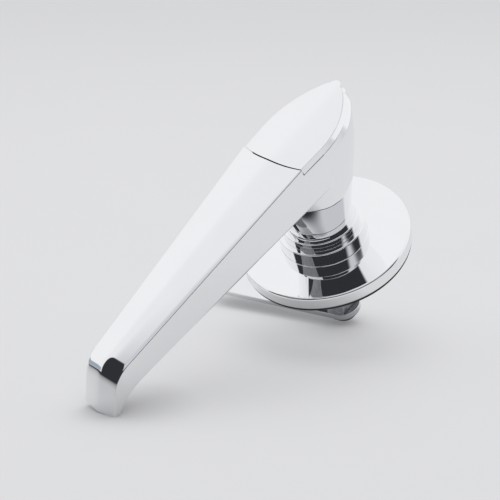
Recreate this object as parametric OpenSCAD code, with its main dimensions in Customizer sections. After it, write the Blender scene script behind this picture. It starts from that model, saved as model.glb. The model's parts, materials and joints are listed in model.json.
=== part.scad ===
// Door lever handle: a pointed lever with a keyhole cover, on a round rose.
// The spindle's centre line is Y. The rose stands on the door at y = 0 and the
// handle grows outward along -Y. The lever points along +X, and +Z is up.
// Each piece is drawn lying down, with Z outward from the door, and then stood up.

/* [Rose] */
// Outer diameter of the rose
rose_d = 55; // [48:1:66]
// Height of the rose's face above the door
rose_h = 5.5; // [5.5:0.1:8]
// Wall of the rose's pressing
rose_wall = 1.6; // [1.2:0.1:2]
// Diameter of the boss on the rose
boss_d = 28; // [27.6:0.1:32]
// Height of the boss above the face
boss_h = 5; // [4.6:0.1:8]
// Thickness of the gasket behind the rose
gasket_t = 0.9; // [0.8:0.1:1.2]
// Thickness of the backplate
plate_t = 1.6; // [1.4:0.1:1.8]
// Circle of the two door screws
fixing_circle = 40; // [36:1:42]
// Tapping bore of the door screws
fixing_bore = 3.3; // [2.5:0.1:3.3]

/* [Lever] */
// From the spindle's axis to the tip of the lever
lever_reach = 96; // [76:1:120]
// From the spindle's axis to the point of the head
head_reach = 22.1; // [21:0.1:26]
// Width of the lever's top where the cover ends
root_w = 22; // [20.5:0.5:25]
// Width of the lever's top where the nose starts
tip_w = 12.7; // [9:0.1:16]
// Height of the lever's ridge above the door, over the spindle
ridge_h = 51.7; // [48:0.1:62]
// Fall of the ridge for each millimetre along the lever
ridge_fall = 0.2; // [0.1:0.01:0.22]
// Height of the lever's underside above the door, over the spindle
under_h = 33.3; // [31:0.1:36]
// Fall of the underside for each millimetre along the lever
under_fall = 0.105; // [0.05:0.005:0.12]
// Rise of the roof for each millimetre of half width
roof_rise = 0.19; // [0.05:0.01:0.25]
// Width of the bevel along the lever's edges
edge_bevel = 0.35; // [0.2:0.05:0.6]
// Depth of the lip at the tip, measured down the front
lip_l = 10; // [6:0.5:14]
// Thickness of the lip at its end
lip_t = 3.9; // [3:0.1:5]

/* [Neck and ring] */
// Diameter of the neck where it meets the ring
neck_d = 20.5; // [18.4:0.1:23]
// Diameter of the ring under the neck
ring_d = 24.6; // [22:0.1:26]
// Height of the ring
ring_h = 3.1; // [2:0.1:4]
// Diameter of the journal that turns in the rose
journal_d = 16; // [15.4:0.1:16.4]

/* [Cover and lock] */
// Radius of the seam, which is centred on the cover's pin
seam_r = 30.6; // [29:0.1:32]
// Height of the cover at its ridge
cover_h = 4.2; // [3.8:0.1:6]
// Slope of the cover's plane, in degrees
cover_tilt = 6.1; // [2:0.1:8]
// Gap round the cover's seam
seam_gap = 0.4; // [0.3:0.05:0.6]
// Diameter of the cover's pin
pin_d = 3; // [2:0.1:3.2]
// Diameter of the lock barrel
barrel_d = 13; // [12:0.1:13.4]
// Diameter of the key plug
plug_d = 9; // [8:0.1:9.4]

/* [Spindle and arm] */
// Side of the square spindle
spindle_s = 8; // [7:0.1:8.2]
// From the door's face to the arm behind it
arm_depth = 26.5; // [18:0.5:60]
// Thickness of the arm
arm_t = 2.2; // [1.6:0.1:4]
// Width of the arm round the spindle
arm_root_w = 12; // [11.6:0.1:16]
// Width of the arm at its far end
arm_w = 16.4; // [12:0.1:22]
// From the spindle's axis to the end of the arm
arm_l = 50; // [30:1:70]
// Lean of the arm toward the lever, in degrees
arm_lean = 12; // [0:1:30]

/* [Return spring] */
// Wire diameter of the return spring
wire_d = 1.1; // [0.8:0.1:1.2]
// Turns of the return spring
spring_turns = 2.5; // [2:0.25:3]

/* [Hidden] */
$fn = 96;

// clearances
eps = 0.01;
run_gap = 0.05;
seat_gap = 0.03;
side_gap = 0.3;

// levels above the door
boss_top = rose_h + boss_h;
ring_top = boss_top + ring_h;
plate_top = gasket_t + plate_t;
cavity_top = rose_h - rose_wall;
web_t = 1.6;
web_under = boss_top - web_t;
flange_t = 0.9;
flange_under = web_under - flange_t;
driver_t = 1.1;
driver_under = plate_top + 0.12;

// rose
gasket_d = rose_d - 0.6;
plate_r = rose_d / 2 - rose_wall - 0.2;
boss_wall = 1.6;
bush_wall = 1.6;
journal_r = journal_d / 2;
bush_in = journal_r + run_gap;
bush_out = bush_in + bush_wall;
collar_r = 3.2;
gasket_in = fixing_circle / 2 + collar_r + 0.2;
cover_screw_n = 3;
cover_screw_at = rose_d / 2 - 6;
cover_screw_turn = 60;
cover_screw_d = 2;
cover_screw_head = 4;
cover_post_r = 2.4;
stop_at = 18;
stop_d = 2.4;
lever_max = 60;
driver_arm_w = 5;
driver_reach = 20.5;
driver_turn = lever_max / 2;
flats = journal_d - 2.4;

// circlip under the backplate
clip_t = 0.6;
clip_w = 1.8;
clip_depth = 0.6;
journal_end = 0.1;
clip_under = gasket_t - run_gap - clip_t;

// cover plane, in a frame whose origin is on the pin where the cover seats
seam_u = 12.8;
pin_u = seam_u - seam_r;
fall = tan(cover_tilt);
seat_at_axis = ridge_h - ridge_fall * seam_u - cover_h + fall * seam_u;
seat_at_pin = seat_at_axis - fall * pin_u;
ogive_r = 30;
head_w = 22.8;
ogive_c = ogive_r - head_w / 2;
ogive_u = sqrt(ogive_r * ogive_r - ogive_c * ogive_c) - head_reach;
point_half = 0.5;
cover_bevel = 0.9;
bevel_h = 2;
rim_out = 0.9;
rim_h = 2.6;
stop_lug_at = 3.4;
stop_lug_d = 1.4;
stop_lug_h = 0.8;
cover_max = 90;
pin_in = 6;
pin_out = 2.4;
snap_depth = 0.35;
snap_h = 0.6;
snap_at = 1.2;

// lock
flange_d = barrel_d + 4;
lock_face = seat_at_axis - fall * (flange_d / 2) - 0.3;
lock_flange_t = 1.6;
barrel_l = 18;
plug_head_d = plug_d;
well_floor = 17.5;
tail_t = 1.2;
tail_reach = barrel_d / 2 - 0.7;
keyway_w = 1.8;
keyway_l = 6.5;
keyway_deep = 12;
barrel_screw_at = (barrel_d + flange_d) / 4 + 0.05;
barrel_screw_d = 1.2;

// spindle, its screw and the arm
socket_top = 15;
end_s = spindle_s - 1;
end_l = arm_t - 0.1;
cam_bolt_d = 5;
cam_bolt_l = 10;
cam_head_d = 8.4;
cam_head_h = 2;
cam_washer_d = 11;
cam_washer_t = 0.8;
cross_pin_d = 2.5;
cross_pin_at = 5.4;

// spring
coil_r = journal_r + 2.1;
coil_low = driver_under + driver_t + 0.75;
coil_high = flange_under - 0.75;
leg_r = wire_d / 2 + 0.12;
wire_sides = 8;
turn_steps = 20;

// lever outline
nose_r = 9;
nose_angle = 62;
start_angle = atan(ridge_fall);
nose_turn_u = nose_r * (sin(nose_angle) - sin(start_angle));
nose_u = lever_reach - lip_l * cos(nose_angle) - nose_turn_u;
under_round = 1.2;
nose_steps = 4;
knee_back = 4;
loft_n = 36;
loft_rings = 5;
head_tail = 15;

// ---- outline helpers ----
// the lever's sides leave the pointed head's arc along its tangent, at join_u
taper = (root_w - tip_w) / 2 / (nose_u - seam_u);
join_u = ogive_u + ogive_r * sin(atan(taper));
root_u = -4;
root_inset = 0.035;
function taper_half(u) = root_w / 2 - (u - seam_u) * taper;
function half_width(u) = taper_half(max(u, join_u)) - root_inset * pow(max(0, join_u - u), 2);
function ridge_at(u) = ridge_h - ridge_fall * u;
function under_at(u) = under_h - under_fall * u;
function seat_at(u) = seat_at_axis - fall * u;
function cap_half(u) =
    u < ogive_u ? max(point_half, sqrt(ogive_r * ogive_r - (u - ogive_u) * (u - ogive_u)) - ogive_c)
                : head_w / 2 - (u - ogive_u) * 0.04;

// ridge point on the nose's arc at angle a, and on the straight front after it
function nose_arc(a) = [nose_u + nose_r * (sin(a) - sin(start_angle)),
                        ridge_at(nose_u) + nose_r * (cos(a) - cos(start_angle))];
nose_end = nose_arc(nose_angle) + lip_l * [cos(nose_angle), -sin(nose_angle)];
lip_in = nose_end - lip_t * [cos(18), sin(18)];
lip_start = [nose_u - knee_back, under_at(nose_u - knee_back)];
lip_knee = [lip_in[0] - 3.8, under_at(lip_in[0] - 3.8)];
function bezier(t) = (1 - t) * (1 - t) * lip_start + 2 * t * (1 - t) * lip_knee + t * t * lip_in;

// one station of the lever: ridge point, underside point and half width
straight_u = [root_u, 0, join_u, nose_u];
function straight_station(u) =
    let (b = u - knee_back * max(0, u) / nose_u) [[u, ridge_at(u)], [b, under_at(b)], half_width(u)];
function nose_station(t) =
    let (a = start_angle + (nose_angle - start_angle) * min(1, t * 1.6),
         run = max(0, (t - 0.625) / 0.375) * lip_l,
         p = nose_arc(a) + run * [cos(nose_angle), -sin(nose_angle)])
    [p, bezier(t), half_width(min(p[0], nose_u + 6))];
stations = concat([for (u = straight_u) straight_station(u)],
                  [for (i = [1 : nose_steps + 2]) nose_station(i / (nose_steps + 2))]);

function ring_of(s) =
    let (top = s[0], low = s[1], b = s[2], deep = norm(low - top), m = (low - top) / deep,
         e = edge_bevel, c = under_round,
         half = [[b, roof_rise * b], [b + e, roof_rise * b + 1.6 * e], [b + e, deep - c],
                 [b + e - c, deep]],
         flat = concat([[0, 0]], half, [for (i = [3 : -1 : 0]) [-half[i][0], half[i][1]]]))
    [for (p = flat) [top[0] + m[0] * p[1], -p[0], top[1] + m[1] * p[1]]];

// closed skin over rings that all have the same number of points
module skin(rings) {
    n = len(rings[0]);
    last = len(rings) - 1;
    points = [for (r = rings) for (p = r) p];
    sides = [for (k = [0 : last - 1]) for (i = [0 : n - 1])
        let (a = k * n + i, b = k * n + (i + 1) % n) [[a, b + n, b], [a, a + n, b + n]]];
    faces = concat([for (pair = sides) for (t = pair) t],
                   [[for (i = [0 : n - 1]) i]], [[for (i = [n - 1 : -1 : 0]) last * n + i]]);
    polyhedron(points, faces, convexity = 6);
}

// ---- head: from the round neck to the pointed outline ----
function ogive_reach(a) =
    let (d = [-cos(a), abs(sin(a))], c = [ogive_u, -ogive_c], dc = d * c)
    dc + sqrt(dc * dc - c * c + ogive_r * ogive_r);
side_reach = ogive_reach(90);
function head_out(a) = cover_bevel - 0.35 + 0.35 * max(0, cos(a));
function head_outline(a) =
    cos(a) > 0 ? ogive_reach(a)
               : 1 / sqrt(pow(cos(a) / head_tail, 2) + pow(sin(a) / side_reach, 2));
function head_point(r, a, part, drop) =
    let (u = -r * cos(a)) [u, r * sin(a), ring_top + part * (seat_at(u) - drop - ring_top)];
function head_ring(x) =
    [for (i = [0 : loft_n - 1])
        let (a = -360 * i / loft_n, t = sin(90 * x),
             r = (1 - t) * neck_d / 2 + t * (head_outline(a) + head_out(a) + rim_out * max(0, cos(a))))
        head_point(r, a, x, rim_h)];
function head_top() =
    [for (i = [0 : loft_n - 1])
        let (a = -360 * i / loft_n) head_point(head_outline(a) + head_out(a), a, 1, 0)];

module at_pin() {
    translate([pin_u, 0, seat_at_pin]) rotate([0, cover_tilt, 0]) children();
}

module stand() {
    rotate([90, 0, 0]) children();
}

module tube(outer_d, inner_d, h) {
    difference() {
        cylinder(d = outer_d, h = h);
        translate([0, 0, -1]) cylinder(d = inner_d, h = h + 2);
    }
}

module around(n, r, start = 0) {
    for (i = [0 : n - 1])
        rotate([0, 0, start + i * 360 / n]) translate([r, 0, 0]) children();
}

// ---- rose ----
module rose_cover() {
    color("gainsboro") stand() difference() {
        union() {
            translate([0, 0, gasket_t]) cylinder(d = rose_d - 0.8, h = 0.4);
            translate([0, 0, gasket_t + 0.4]) cylinder(d = rose_d, h = rose_h - gasket_t - 0.8);
            translate([0, 0, rose_h - 0.4]) cylinder(d1 = rose_d, d2 = rose_d - 0.8, h = 0.4);
            translate([0, 0, rose_h - eps]) cylinder(d = boss_d, h = boss_h + eps);
        }
        difference() {
            translate([0, 0, -1]) cylinder(r = plate_r + 0.2, h = cavity_top + 1);
            around(cover_screw_n, cover_screw_at, cover_screw_turn)
                translate([0, 0, plate_top]) cylinder(r = cover_post_r, h = rose_h);
        }
        cylinder(r = boss_d / 2 - boss_wall, h = web_under);
        cylinder(r = bush_out + seat_gap, h = boss_top + 1);
        around(cover_screw_n, cover_screw_at, cover_screw_turn)
            cylinder(d = cover_screw_d + 2 * seat_gap, h = rose_h - 0.7);
    }
}

module rose_gasket() {
    color("dimgray") stand() tube(gasket_d, 2 * gasket_in, gasket_t);
}

module backplate() {
    color("silver") stand() difference() {
        union() {
            translate([0, 0, gasket_t]) cylinder(r = plate_r, h = plate_t - seat_gap);
            around(2, fixing_circle / 2, 90) cylinder(r = collar_r, h = cavity_top - 0.1);
        }
        cylinder(r = bush_in, h = rose_h);
        around(2, fixing_circle / 2, 90)
            translate([0, 0, -1]) cylinder(d = fixing_bore, h = rose_h + 1);
        around(cover_screw_n, cover_screw_at, cover_screw_turn) {
            cylinder(d = cover_screw_d + 0.3, h = rose_h);
            cylinder(d = cover_screw_head + 0.3, h = gasket_t + 0.8);
        }
        for (a = stop_angles) rotate([0, 0, a]) translate([stop_at, 0, 0])
            cylinder(d = stop_d + 2 * seat_gap, h = rose_h);
    }
}

module backplate_screws() {
    color("silver") stand() around(cover_screw_n, cover_screw_at, cover_screw_turn)
        difference() {
            union() {
                translate([0, 0, gasket_t]) cylinder(d = cover_screw_head, h = 0.8);
                translate([0, 0, gasket_t]) cylinder(d = cover_screw_d, h = rose_h - 0.8 - gasket_t);
            }
            translate([-0.3, -cover_screw_head, gasket_t - 1])
                cube([0.6, 2 * cover_screw_head, 1.4]);
        }
}

// the driver's arm swings clockwise, from one pin to the other
stop_half = asin((driver_arm_w / 2 + stop_d / 2 + 0.25) / stop_at);
stop_angles = [driver_turn + stop_half, driver_turn - lever_max - stop_half];
module stop_pins() {
    color("silver") stand() for (a = stop_angles)
        rotate([0, 0, a]) translate([stop_at, 0, gasket_t])
            cylinder(d = stop_d, h = cavity_top - gasket_t - 0.1);
}

module bearing_bush() {
    color("goldenrod") stand() difference() {
        union() {
            translate([0, 0, flange_under])
                cylinder(r = boss_d / 2 - boss_wall - 0.2, h = flange_t - seat_gap);
            translate([0, 0, flange_under]) cylinder(r = bush_out, h = boss_top - flange_under);
        }
        cylinder(r = bush_in, h = boss_top + 1);
        rotate([0, 0, 360 * spring_turns]) translate([coil_r, 0, 0]) cylinder(r = leg_r, h = web_under);
    }
}

// ---- return spring: a wire swept along a coil with two straight legs ----
function coil_point(t) =
    let (a = 360 * spring_turns * t) [coil_r * cos(a), coil_r * sin(a),
                                     coil_low + (coil_high - coil_low) * t];
coil_steps = round(turn_steps * spring_turns);
coil_tail = web_under - 0.3 - coil_high;
wire_path = concat([[coil_r, 0, driver_under + 0.2], [coil_r, 0, coil_low - 0.4]],
                   [for (i = [1 : coil_steps - 1]) coil_point(i / coil_steps)],
                   [coil_point(1) + [0, 0, 0.4], coil_point(1) + [0, 0, coil_tail]]);
function unit(v) = v / norm(v);
function wire_ring(i) =
    let (n = len(wire_path), p = wire_path[i],
         t = unit(wire_path[min(n - 1, i + 1)] - wire_path[max(0, i - 1)]),
         out = unit([p[0], p[1], 0]), side = unit(cross(t, out)), up = cross(side, t))
    [for (k = [0 : wire_sides - 1])
        let (a = 360 * k / wire_sides) p + wire_d / 2 * (cos(a) * up + sin(a) * side)];

module return_spring() {
    color("lightsteelblue") stand() skin([for (i = [0 : len(wire_path) - 1]) wire_ring(i)]);
}

module driver_profile(gap) {
    intersection() {
        circle(r = journal_r + gap);
        square([2 * journal_r, flats + 2 * gap], center = true);
    }
}

module spring_driver() {
    color("silver") stand() translate([0, 0, driver_under]) linear_extrude(driver_t)
        difference() {
            union() {
                circle(r = boss_d / 2 - boss_wall - 0.4);
                rotate(driver_turn) translate([0, -driver_arm_w / 2])
                    square([driver_reach, driver_arm_w]);
            }
            driver_profile(run_gap);
            translate([coil_r, 0]) circle(r = leg_r);
        }
}

module circlip() {
    color("slategray") stand() translate([0, 0, clip_under]) linear_extrude(clip_t)
        difference() {
            circle(r = journal_r + clip_w - clip_depth);
            circle(r = journal_r - clip_depth + seat_gap);
            rotate(-90) translate([0, -2]) square([2 * journal_r, 4]);
        }
}

// ---- lever ----
module cover_pocket() {
    at_pin() intersection() {
        cylinder(r = seam_r + seam_gap, h = 30);
        translate([-50, -40, 0]) cube([100, 80, 30]);
    }
}

module lever_body() {
    color("whitesmoke") stand() difference() {
        union() {
            skin([for (s = stations) ring_of(s)]);
            skin(concat([for (k = [0 : loft_rings]) head_ring(k / loft_rings)], [head_top()]));
            translate([0, 0, journal_end]) cylinder(r = journal_r, h = ring_top + 1 - journal_end);
        }
        for (side = [-1, 1])
            translate([-journal_d, side * (flats + journal_d) / 2 - journal_d / 2, driver_under - 0.05])
                cube([2 * journal_d, journal_d, driver_t + 0.3]);
        translate([0, 0, clip_under - run_gap])
            tube(2 * journal_r + 4, 2 * (journal_r - clip_depth), clip_t + 2 * run_gap);
        cover_pocket();
        square_bar(spindle_s + 2 * run_gap, -1, socket_top);
        translate([0, 0, well_floor]) cylinder(r = barrel_d / 2 + seat_gap, h = 60);
        translate([0, 0, lock_face - lock_flange_t]) cylinder(r = flange_d / 2 + seat_gap, h = 20);
        translate([0, 0, cross_pin_at]) rotate([90, 0, 0])
            cylinder(d = cross_pin_d + 2 * seat_gap, h = 2 * journal_r + 4, center = true);
        at_pin() {
            translate([0, 0, -pin_in]) cylinder(d = pin_d + 2 * seat_gap, h = pin_in + 5);
            translate([0, 0, -0.4]) cylinder(d = pin_d + 1.8, h = 5);
            translate([0, 0, -1]) rotate([0, 0, -14]) rotate_extrude(angle = cover_max + 28)
                translate([stop_lug_at - 0.9, 0]) square([1.8, 5]);
        }
        around(2, barrel_screw_at, 90) translate([0, 0, lock_face - 7])
            cylinder(d = barrel_screw_d + 2 * seat_gap, h = 8);
    }
}

module square_bar(s, from, to) {
    translate([-s / 2, -s / 2, from]) cube([s, s, to - from]);
}

module neck_ring() {
    color("gainsboro") stand() difference() {
        union() {
            translate([0, 0, boss_top + run_gap]) cylinder(d = ring_d, h = ring_h - run_gap - 0.35);
            translate([0, 0, ring_top - 0.35]) cylinder(d1 = ring_d, d2 = ring_d - 0.7, h = 0.32);
        }
        cylinder(r = journal_r + seat_gap, h = 40);
    }
}

module spindle() {
    color("silver") stand() difference() {
        union() {
            square_bar(spindle_s, -arm_depth, socket_top - 0.3);
            square_bar(end_s, -arm_depth - end_l, -arm_depth + 1);
        }
        translate([0, 0, -arm_depth - end_l - 1]) cylinder(d = cam_bolt_d, h = cam_bolt_l + 1);
        translate([0, 0, cross_pin_at]) rotate([90, 0, 0])
            cylinder(d = cross_pin_d + 2 * seat_gap, h = 20, center = true);
    }
}

module spindle_pin() {
    color("slategray") stand() translate([0, 0, cross_pin_at]) rotate([90, 0, 0])
        cylinder(d = cross_pin_d, h = 2 * journal_r - 0.6, center = true);
}

// ---- arm behind the door ----
// The arm's straight sides run along the tangents of its two round ends.
arm_far = arm_l - arm_w / 2;
arm_side = asin((arm_root_w - arm_w) / 2 / arm_far);
function arm_edge(at, d, side) = [at + d / 2 * sin(arm_side), side * d / 2 * cos(arm_side)];
module cam_arm() {
    color("gainsboro") stand() translate([0, 0, -arm_depth - arm_t]) rotate([0, 0, -90 + arm_lean])
        linear_extrude(arm_t - seat_gap) difference() {
            union() {
                circle(d = arm_root_w);
                polygon([arm_edge(0, arm_root_w, -1), arm_edge(arm_far, arm_w, -1),
                         arm_edge(arm_far, arm_w, 1), arm_edge(0, arm_root_w, 1)]);
                translate([arm_far, 0]) circle(d = arm_w);
            }
            rotate(90 - arm_lean) square(end_s + 2 * run_gap, center = true);
        }
}

module cam_washer() {
    color("silver") stand() translate([0, 0, -arm_depth - arm_t - cam_washer_t])
        tube(cam_washer_d, cam_bolt_d + 0.4, cam_washer_t - seat_gap);
}

module cam_screw() {
    color("slategray") stand() {
        base = -arm_depth - arm_t - cam_washer_t;
        difference() {
            union() {
                translate([0, 0, base - cam_head_h]) cylinder(d = cam_head_d, h = cam_head_h - seat_gap);
                translate([0, 0, base - 0.5]) cylinder(d = cam_bolt_d - 2 * seat_gap, h = cam_bolt_l);
            }
            translate([0, 0, base - cam_head_h - 1]) cylinder(d = 3.5, h = 2.3, $fn = 6);
        }
    }
}

// ---- keyhole cover, drawn flat in the frame of its pin ----
cap_steps = 20;
cap_end = seam_u + 6;
function cap_side(grow, z) =
    [for (i = [0 : cap_steps])
        let (k = i / cap_steps, u = -head_reach + (cap_end + head_reach) * (k * k * 0.6 + k * 0.4))
        [u - pin_u - grow * (1 - k), cap_half(u) + grow * min(1, k * 6), z]];
function cap_ring(grow, z) =
    let (side = cap_side(grow, z))
    concat([for (i = [cap_steps : -1 : 0]) side[i]],
           [for (i = [0 : cap_steps]) [side[i][0], -side[i][1], z]]);

module keyhole_cover() {
    color("whitesmoke") stand() at_pin() difference() {
        intersection() {
            skin([cap_ring(cover_bevel, run_gap), cap_ring(0, bevel_h), cap_ring(0, cover_h + 2)]);
            cylinder(r = seam_r, h = 20, $fn = 180);
            rotate([90, 0, 90]) translate([0, 0, -20]) linear_extrude(90)
                polygon([[-20, 0], [20, 0], [20, cover_h - 20 * roof_rise], [0, cover_h],
                         [-20, cover_h - 20 * roof_rise]]);
        }
        translate([0, 0, -1]) cylinder(d = pin_d + 2 * run_gap, h = pin_out + 1.2);
        translate([0, 0, snap_at - 0.1]) cylinder(d = pin_d + 2.2, h = snap_h + 0.2);
    }
    color("whitesmoke") stand() at_pin()
        translate([stop_lug_at, 0, -stop_lug_h]) cylinder(d = stop_lug_d, h = stop_lug_h + 1);
}

module cover_pin() {
    color("silver") stand() at_pin() difference() {
        translate([0, 0, -pin_in]) cylinder(d = pin_d, h = pin_in + pin_out);
        translate([0, 0, snap_at - 0.05]) tube(pin_d + 2, pin_d - 2 * snap_depth, snap_h + 0.1);
    }
}

module cover_clip() {
    color("slategray") stand() at_pin() translate([0, 0, snap_at]) linear_extrude(snap_h)
        difference() {
            circle(d = pin_d + 2);
            circle(d = pin_d - 2 * snap_depth + 2 * run_gap);
            translate([-pin_d * 2, -0.8]) square([pin_d * 2, 1.6]);
        }
}

module cover_washer() {
    color("slategray") stand() at_pin() translate([0, 0, -0.35])
        tube(pin_d + 1.6, pin_d + 0.2, 0.35);
}

// ---- lock ----
module lock_barrel() {
    color("silver") stand() difference() {
        union() {
            translate([0, 0, lock_face - lock_flange_t + seat_gap])
                cylinder(d = flange_d, h = lock_flange_t - seat_gap);
            translate([0, 0, lock_face - barrel_l]) cylinder(d = barrel_d, h = barrel_l);
        }
        translate([0, 0, lock_face - barrel_l - 1]) cylinder(d = plug_d + 2 * run_gap, h = barrel_l + 2);
        around(2, barrel_screw_at, 90) translate([0, 0, lock_face - 8])
            cylinder(d = barrel_screw_d + 2 * seat_gap, h = 9);
    }
}

module barrel_screws() {
    color("slategray") stand() around(2, barrel_screw_at, 90)
        translate([0, 0, lock_face - 6]) difference() {
            cylinder(d = barrel_screw_d, h = 6);
            translate([-0.15, -2, 5.5]) cube([0.3, 4, 1]);
        }
}

module key_plug() {
    color("goldenrod") stand() difference() {
        union() {
            translate([0, 0, lock_face - barrel_l]) cylinder(d = plug_d, h = barrel_l);
            translate([0, 0, lock_face - barrel_l - 2.2]) cylinder(d = 4, h = 3);
        }
        translate([-keyway_w / 2, -keyway_l / 2, lock_face - keyway_deep])
            cube([keyway_w, keyway_l, keyway_deep + 1]);
        translate([0, 0, lock_face - barrel_l - 1.9]) tube(6, 3.2, 0.5);
    }
}

module tail_cam() {
    color("silver") stand() translate([0, 0, lock_face - barrel_l - tail_t]) linear_extrude(tail_t - 0.05)
        difference() {
            union() {
                circle(d = 8);
                translate([0, -1.75]) square([tail_reach, 3.5]);
            }
            circle(d = 4 + 2 * seat_gap);
        }
}

module tail_clip() {
    color("slategray") stand() translate([0, 0, lock_face - barrel_l - 1.85]) linear_extrude(0.4)
        difference() {
            circle(d = 6.4);
            circle(d = 3.3);
            translate([0, -0.9]) square([4, 1.8]);
        }
}

rose_cover();
rose_gasket();
backplate();
backplate_screws();
stop_pins();
bearing_bush();
return_spring();
spring_driver();
circlip();
lever_body();
neck_ring();
spindle();
spindle_pin();
cam_arm();
cam_washer();
cam_screw();
keyhole_cover();
cover_pin();
cover_clip();
cover_washer();
lock_barrel();
barrel_screws();
key_plug();
tail_cam();
tail_clip();
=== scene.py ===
"""A chrome door lever handle lying on a pale table, dressed for its portrait.

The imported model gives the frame: X runs along the lever, -Y out of the door, +Z up. The pieces that
show are modelled again here at the same size with rounded edges, and ride on the model's bodies.
"""

import json
import logging
import math
from dataclasses import dataclass, field
from enum import Enum
from functools import reduce
from typing import Callable, Iterable, Sequence

import bmesh
import bpy
from mathutils import Matrix, Quaternion, Vector


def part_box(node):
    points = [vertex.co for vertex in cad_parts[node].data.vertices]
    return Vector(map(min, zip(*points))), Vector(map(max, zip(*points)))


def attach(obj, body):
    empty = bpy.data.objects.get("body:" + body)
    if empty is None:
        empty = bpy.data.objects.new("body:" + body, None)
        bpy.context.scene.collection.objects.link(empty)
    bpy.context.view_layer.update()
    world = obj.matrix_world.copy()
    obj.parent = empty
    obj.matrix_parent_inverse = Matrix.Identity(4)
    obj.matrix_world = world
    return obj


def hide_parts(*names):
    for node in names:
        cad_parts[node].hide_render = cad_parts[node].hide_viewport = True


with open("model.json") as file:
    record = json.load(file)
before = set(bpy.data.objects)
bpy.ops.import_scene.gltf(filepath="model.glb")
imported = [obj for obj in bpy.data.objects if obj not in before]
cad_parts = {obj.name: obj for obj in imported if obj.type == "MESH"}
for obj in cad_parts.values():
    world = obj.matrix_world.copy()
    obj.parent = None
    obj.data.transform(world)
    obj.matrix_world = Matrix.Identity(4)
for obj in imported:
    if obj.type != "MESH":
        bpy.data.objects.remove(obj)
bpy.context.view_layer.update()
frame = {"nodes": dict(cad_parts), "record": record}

log = logging.getLogger("door_handle")

Point2 = tuple[float, float]
Ring = list[Vector]
Colour = tuple[float, float, float]
Paint = Colour | bpy.types.NodeSocket

MM = 0.001
OUT_OF_DOOR = Matrix(((1, 0, 0, 0), (0, 0, -1, 0), (0, 1, 0, 0), (0, 0, 0, 1)))


class Body(Enum):
    """The rigid bodies of the handle."""

    ROSE = "rose"
    LEVER = "lever"
    COVER = "cover"


# ---------------------------------------------------------------- finishes

class NodeTree:
    """A node tree with short calls for the nodes that the finishes and the surround share."""

    def __init__(self, tree: bpy.types.NodeTree, coordinates: str) -> None:
        """Empties a tree.

        Args:
            tree: The node tree.
            coordinates: Which texture coordinates its patterns read.
        """
        self.nodes, self.links = tree.nodes, tree.links
        self.nodes.clear()
        self.place = self.nodes.new("ShaderNodeTexCoord").outputs[coordinates]

    def span(self, source: bpy.types.NodeSocket, low: float, high: float, to_low: float = 0.0,
             to_high: float = 1.0, soft: bool = False) -> bpy.types.NodeSocket:
        """Maps one range of numbers onto another, clamped.

        Args:
            source: The number to map.
            low: Start of the range read.
            high: End of the range read.
            to_low: What low becomes.
            to_high: What high becomes.
            soft: True to ease in and out.

        Returns:
            The mapped number.
        """
        node = self.nodes.new("ShaderNodeMapRange")
        node.interpolation_type = "SMOOTHSTEP" if soft else "LINEAR"
        limits = {"From Min": low, "From Max": high, "To Min": to_low, "To Max": to_high}
        for name, value in limits.items():
            node.inputs[name].default_value = value
        self.links.new(source, node.inputs["Value"])
        return node.outputs["Result"]

    def blend(self, factor: bpy.types.NodeSocket, one: Paint, two: Paint) -> bpy.types.NodeSocket:
        """Blends two colours.

        Args:
            factor: Where the second shows.
            one: A colour, or the socket it comes from.
            two: The other.

        Returns:
            The colour socket.
        """
        node = self.nodes.new("ShaderNodeMix")
        node.data_type = "RGBA"
        self.links.new(factor, node.inputs["Factor"])
        for socket, paint in ((node.inputs["A"], one), (node.inputs["B"], two)):
            if isinstance(paint, tuple):
                socket.default_value = (*paint, 1.0)
            else:
                self.links.new(paint, socket)
        return node.outputs["Result"]

    def both(self, how: str, one: bpy.types.NodeSocket,
             two: bpy.types.NodeSocket) -> bpy.types.NodeSocket:
        """Joins two numbers with a Math node, such as MULTIPLY or MAXIMUM."""
        node = self.nodes.new("ShaderNodeMath")
        node.operation = how
        self.links.new(one, node.inputs[0])
        self.links.new(two, node.inputs[1])
        return node.outputs["Value"]

    def toward(self, axis: Vector) -> bpy.types.NodeSocket:
        """Gives how far the coordinates reach along an axis."""
        node = self.nodes.new("ShaderNodeVectorMath")
        node.operation = "DOT_PRODUCT"
        node.inputs[1].default_value = axis.normalized()
        self.links.new(self.place, node.inputs[0])
        return node.outputs["Value"]


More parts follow.
